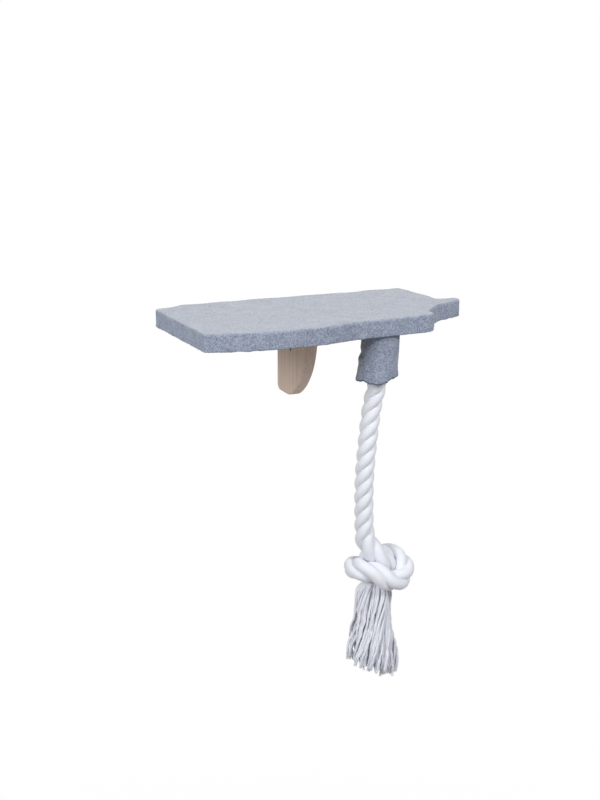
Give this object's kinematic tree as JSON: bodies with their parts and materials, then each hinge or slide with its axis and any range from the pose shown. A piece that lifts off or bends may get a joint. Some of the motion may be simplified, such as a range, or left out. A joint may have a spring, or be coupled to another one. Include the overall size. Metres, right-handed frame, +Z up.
{
  "type": "cat wall platform",
  "caption": "Wall-mounted cat platform: a plush-covered board of uneven outline on a wooden gusset, with a knotted rope toy hanging from a short plush post.",
  "frame": {"origin": "on the wall's face, midway between the two wall screws of the angle brackets", "axes": "+X along the wall to the right as seen from the room, +Y into the wall, +Z up"},
  "size_m": [0.3691, 0.1905, 0.4484],
  "materials": {
    "plywood": "sanded plywood",
    "plush": "short-pile plush",
    "staple_wire": "galvanised",
    "bracket_steel": "zinc plated",
    "screw_steel": "zinc plated",
    "gusset_wood": "sanded, unvarnished",
    "dowel_wood": "turned",
    "rope_cotton": "twisted cotton",
    "tassel_yarn": "frayed cotton yarn"
  },
  "bodies": {
    "shelf": {"platform_board": "plywood", "plush_cover": "plush", "cover_staples": "staple_wire", "left_wall_bracket": "bracket_steel", "right_wall_bracket": "bracket_steel", "bracket_screws": "screw_steel", "support_gusset": "gusset_wood", "gusset_stud": "screw_steel", "gusset_set_screw": "screw_steel", "gusset_dowel": "dowel_wood", "tee_nuts": "screw_steel", "rope_post_core": "dowel_wood", "post_sleeve": "plush", "post_hanger_bolt": "screw_steel", "rope_anchor": "rope_cotton", "rope_pin": "screw_steel"},
    "rope_neck": {"rope_root": "rope_cotton"},
    "hanging_rope": {"rope": "rope_cotton", "rope_knot": "rope_cotton", "rope_tassel": "tassel_yarn"}
  },
  "joints": [
    {"name": "rope_sway", "type": "hinge", "parent": "shelf", "child": "rope_neck", "pos_m": [0.065, -0.146, -0.024], "axis": [1, 0, 0], "range_deg": [-20, 14]},
    {"name": "rope_swing", "type": "hinge", "parent": "rope_neck", "child": "hanging_rope", "pos_m": [0.065, -0.146, -0.037], "axis": [0, 1, 0], "range_deg": [-30, 30]}
  ]
}
